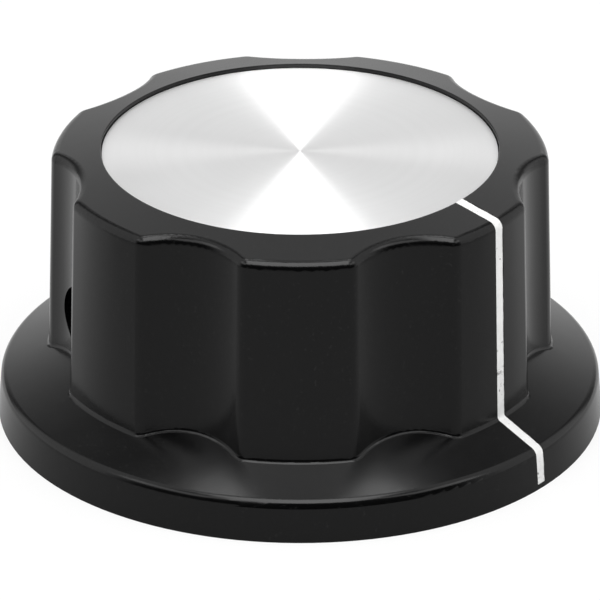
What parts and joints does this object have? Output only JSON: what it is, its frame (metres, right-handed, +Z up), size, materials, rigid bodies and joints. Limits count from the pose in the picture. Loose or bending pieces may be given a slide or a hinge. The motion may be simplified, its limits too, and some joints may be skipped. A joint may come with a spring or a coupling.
{
  "type": "fluted control knob",
  "caption": "Black moulded control knob with a fluted grip, a wide sloping skirt, a spun aluminium top disc and a white pointer line, held on its shaft by a side set screw.",
  "frame": {"origin": "middle of the base, on the surface that the skirt rests on", "axes": "+Z up the shaft axis; the pointer line is at the front, towards -Y"},
  "size_m": [0.036, 0.036, 0.0168],
  "materials": {
    "moulded_body": "black phenolic, moulded semi-gloss",
    "spun_disc": "spun with fine concentric lines",
    "bush": "turned, straight knurl",
    "screw": "dark oxide",
    "line_paint": "white paint wiped into a groove"
  },
  "bodies": {
    "knob": {"body": "moulded_body", "cap_disc": "spun_disc", "shaft_bushing": "bush", "indicator_line": "line_paint"},
    "screw": {"set_screw": "screw"}
  },
  "joints": [
    {"name": "set_screw_travel", "type": "slide", "parent": "knob", "child": "screw", "axis": [-0.7708, 0.637, 0], "range_m": [-0.0016, 0.0012]}
  ]
}
